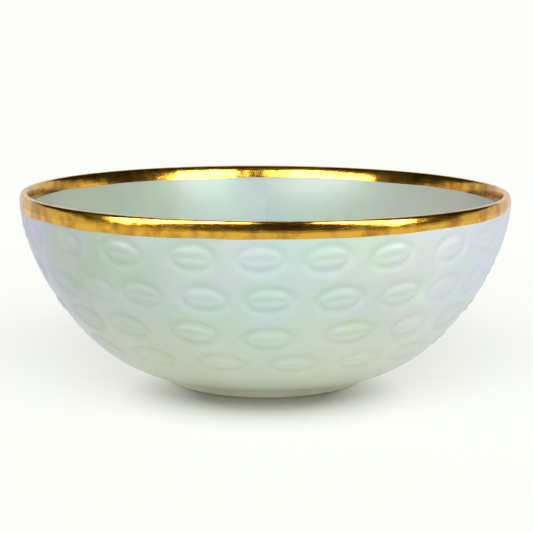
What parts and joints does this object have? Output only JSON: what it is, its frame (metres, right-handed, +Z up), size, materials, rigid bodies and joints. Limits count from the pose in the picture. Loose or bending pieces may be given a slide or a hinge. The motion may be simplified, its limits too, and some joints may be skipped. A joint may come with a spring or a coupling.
{
  "type": "porcelain serving bowl",
  "caption": "Deep round porcelain serving bowl on a low foot ring, with a pearl glaze over carved oval relief and a gold painted rim.",
  "frame": {"origin": "centre of the circle the foot stands on", "axes": "+Z up along the axis the bowl is turned on, X and Y level"},
  "size_m": [0.28, 0.28, 0.109],
  "materials": {
    "porcelain": "fired white clay, unglazed, matt",
    "pearl_glaze": "satin mother-of-pearl glaze, pale aqua and green",
    "lining_glaze": "satin mother-of-pearl glaze, pale aqua",
    "foot_glaze": "thin olive cream glaze",
    "base_glaze": "clear glaze over white clay",
    "gold": "bright brushed-on fired gold"
  },
  "bodies": {
    "root": {"porcelain_body": "porcelain", "foot_ring": "porcelain", "outer_glaze": "pearl_glaze", "inner_glaze": "lining_glaze", "foot_glaze": "foot_glaze", "base_glaze": "base_glaze", "gold_rim_band": "gold"}
  },
  "joints": []
}
